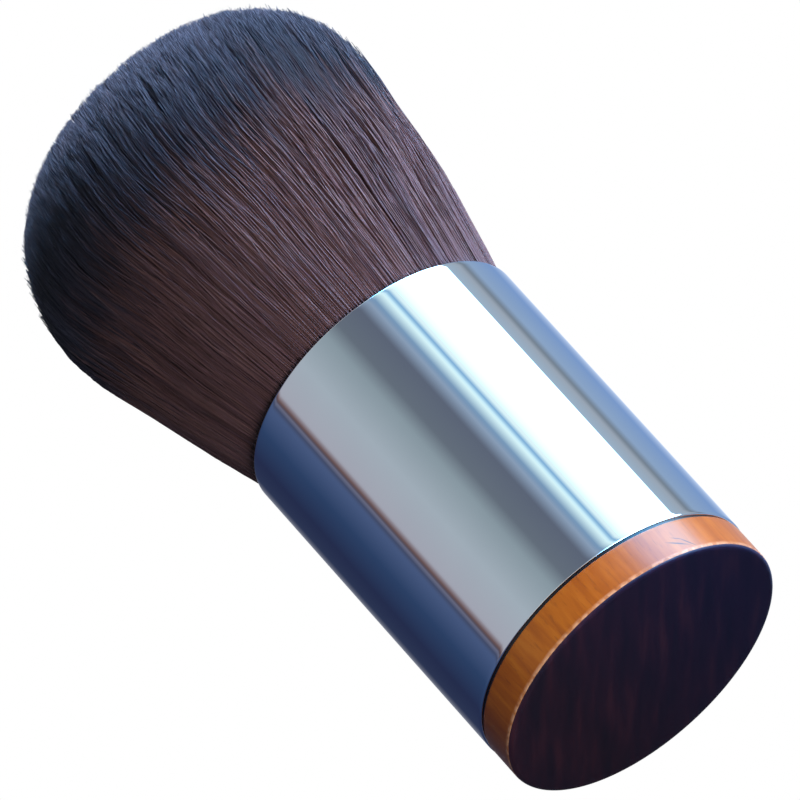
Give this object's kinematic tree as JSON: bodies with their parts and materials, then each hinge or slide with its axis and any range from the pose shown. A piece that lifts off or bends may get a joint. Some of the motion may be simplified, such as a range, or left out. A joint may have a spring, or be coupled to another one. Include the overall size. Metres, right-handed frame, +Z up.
{
  "type": "kabuki makeup brush",
  "caption": "Short free-standing makeup brush: dense domed fibre head in a polished chrome tube, on a turned wooden plug with a flat base.",
  "frame": {"origin": "centre of the wooden plug's underside, the flat face the brush stands on", "axes": "+Z up the brush's axis towards the fibre tips; the brush is round, so +X and +Y are alike"},
  "size_m": [0.0428, 0.0428, 0.0855],
  "materials": {
    "chrome_plate": "polished",
    "lacquered_wood": "gloss lacquer",
    "dark_adhesive": "cured glue",
    "drawn_aluminium": "as drawn",
    "potting_resin": "cast",
    "cotton_thread": "waxed thread",
    "dyed_fibre": "soft fibre, brown at the root and near black at the tip"
  },
  "bodies": {
    "root": {"ferrule": "chrome_plate", "handle_plug": "lacquered_wood", "plug_adhesive": "dark_adhesive", "knot_cup": "drawn_aluminium", "resin_plug": "potting_resin", "binding_thread": "cotton_thread", "bristles": "dyed_fibre"}
  },
  "joints": []
}
